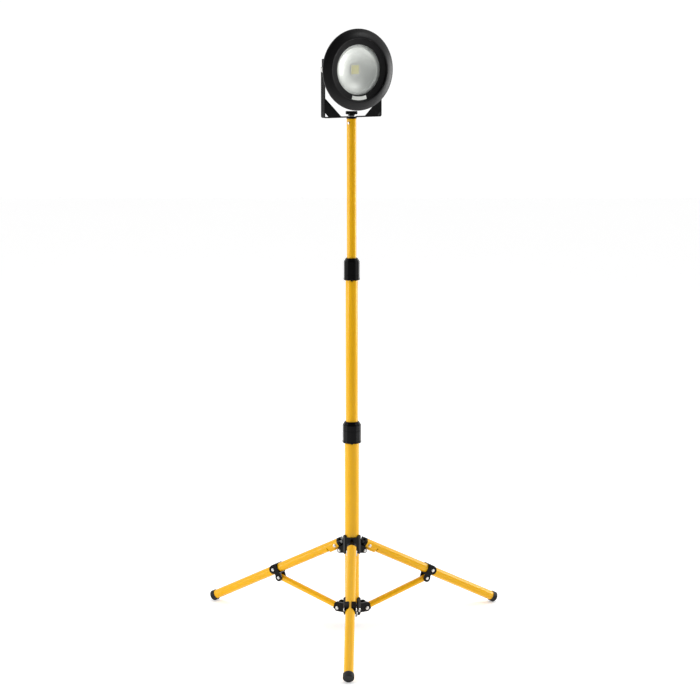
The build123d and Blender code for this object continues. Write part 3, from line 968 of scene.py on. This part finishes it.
def makeCover(c):
    mesh = bmesh.new()
    lathe(mesh, softLine(c["line"], closed=False), beamPlace, c["sides"], closed=False)
    newPiece("rear_cover_pressing", mesh, "black_casting", "head", ["rear_cover"])


# mast tubes, with the cut edges rolled in

mastTube = {
    "wall": 1.2,
    "lip": 0.5,            # how far the outside is rolled in at its very end
    "roll": (0.1, 0.4),    # how far it still is, and how far from the end
    "burr": (0.1, 0.3),    # the same for the inside
    "straight": 1.0,       # from here on the tube is straight
    "steps": 12, "sides": 96,
}


def makeMastTube(t, node):
    low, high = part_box(node)
    outer = (high.x - low.x) / 2 / mm
    inner = outer - t["wall"]
    bottom, top = low.z / mm, high.z / mm
    rollIn, rollUp = t["roll"]
    burrIn, burrUp = t["burr"]
    first = bottom + t["straight"]
    run = top - bottom - 2 * t["straight"]
    wall = [(outer - t["lip"], bottom), (outer - rollIn, bottom + rollUp)]
    wall += [(outer, first + run * step / t["steps"]) for step in range(t["steps"] + 1)]
    wall += [(outer - rollIn, top - rollUp), (outer - t["lip"], top)]
    wall += [(inner + burrIn, top), (inner, top - burrUp)]
    wall += [(inner, bottom + burrUp), (inner + burrIn, bottom)]
    mesh = bmesh.new()
    lathe(mesh, wall, steps=t["sides"])
    newPiece(node + "_drawn", mesh, "yellow_paint", bodyOf(node), [node], sharp=50)


# the moulded and pressed parts keep the frame's shapes, with every edge rounded to these widths

rounded = {
    "bracket": 0.7, "bracket_knob": 0.45, "lock_knob": 0.4, "top_plug": 0.6, "pivot_bolts": 0.5,
    "pivot_washers": 0.2, "slide_hub": 0.25, "lower_collar_body": 0.2, "lower_collar_nut": 0.4,
    "upper_collar_body": 0.17, "upper_collar_nut": 0.17,
}
roundedWithCare = {"base_hub": 0.5}     # less where two edges would meet
roundedOnLeg = {"leg_{}_plug": 0.22, "leg_{}_clamp": 0.3, "brace_{}_end": 0.35}
tubesOnLeg = ("leg_{}_tube", "brace_{}_tube")


def makeMoulded():
    for node, width in rounded.items():
        softened(node, width)
    for node, width in roundedWithCare.items():
        softened(node, width, clamp=True)
    for leg in legTurns:
        for pattern, width in roundedOnLeg.items():
            softened(pattern.format(leg), width)
        for pattern in tubesOnLeg:
            smoothed(pattern.format(leg))


# the line of a leg, from its hinge on the sliding hub and the pivot of its brace

legPivots = {"hinge": (2.7, 20.1), "brace": (225.5, 24.5)}    # along a leg from its top, and below its axis


def axisPoint(name):
    return Vector(joints[name]["pos_m"])


def radial(point):
    # distance from the mast's axis, and height
    return Vector((math.hypot(point.x, point.y), point.z))


def legLine():
    # slope of a leg, and the radius and height of the top of its axis
    hinge = radial(axisPoint("leg_front_fold"))
    run = radial(axisPoint("brace_front_fold")) - hinge
    (along, below), (further, lower) = legPivots["hinge"], legPivots["brace"]
    slope = math.atan2(-run.y, run.x) - math.atan2(lower - below, further - along)
    down = Vector((math.cos(slope), -math.sin(slope)))
    up = Vector((math.sin(slope), math.cos(slope)))
    return slope, hinge - down * along * mm + up * below * mm


legSlope, legStart = legLine()

foot = {
    "radius": 14.4, "length": 16.0,
    "crown": 3.0, "crownBend": 1.5,                     # its rounded end
    "grooves": (4.5, 7.5, 10.5),                        # where each one starts
    "groove": ((0, 0), (0.7, 0.4), (0.7, 1.0), (0, 1.4)),   # one groove: depth, and distance from its start
    "mouth": (0.9, 1.0),                                # chamfer at the open end
    "bore": (12.6, 5.0),                                # radius, and thickness of the end
    "sides": 72,
}


def makeFoot(f, leg):
    # a ribbed cap that is worn flat where it stands on the floor
    node = f"leg_{leg}_foot"
    turn = math.radians(legTurns[leg])
    away = Vector((math.cos(turn), math.sin(turn), 0))
    top = away * legStart.x + Vector((0, 0, legStart.y))
    down = away * math.cos(legSlope) + Vector((0, 0, -math.sin(legSlope)))
    corners = [corner for group in islands(node) for corner in group]
    end = max((corner - top).dot(down) for corner in corners)
    axis = Matrix.Translation(top + down * end) @ (-down).to_track_quat("Z", "Y").to_matrix().to_4x4()
    radius, length, crown, crownBend = f["radius"], f["length"], f["crown"], f["crownBend"]
    (bore, floor), (chamfer, chamferLength) = f["bore"], f["mouth"]
    line = [(0, 0), (radius - crown, 0, crownBend), (radius, crown, crownBend)]
    for groove in f["grooves"]:
        line += [(radius - depth, groove + up, 0.2) for depth, up in f["groove"]]
    line += [(radius, length - chamferLength, 0.5), (radius - chamfer, length, 0.4), (bore, length, 0.2),
             (bore, floor, tight), (0, floor)]
    mesh = bmesh.new()
    lathe(mesh, softLine(line, closed=False, steps=3), axis, f["sides"], closed=False)
    for vert in mesh.verts:
        vert.co.z = max(vert.co.z, 0)
    newPiece(node + "_cap", mesh, "rubber_foot", bodyOf(node), [node])


makeFasteners(fastener)
print("stage: fasteners")
makeBezel(bezel)
makeBadge(badge)
makeLens(lens)
makeReflector(reflector)
makeBoard(board)
makeHousing(housing)
makeCover(cover)
print("stage: head")
for tube in ("lower_tube", "mid_tube", "top_tube"):
    makeMastTube(mastTube, tube)
makeMoulded()
for leg in legTurns:
    makeFoot(foot, leg)
for seed in seeds:
    bpy.data.objects.remove(seed)
print("stage: tubes, hubs, legs and feet")
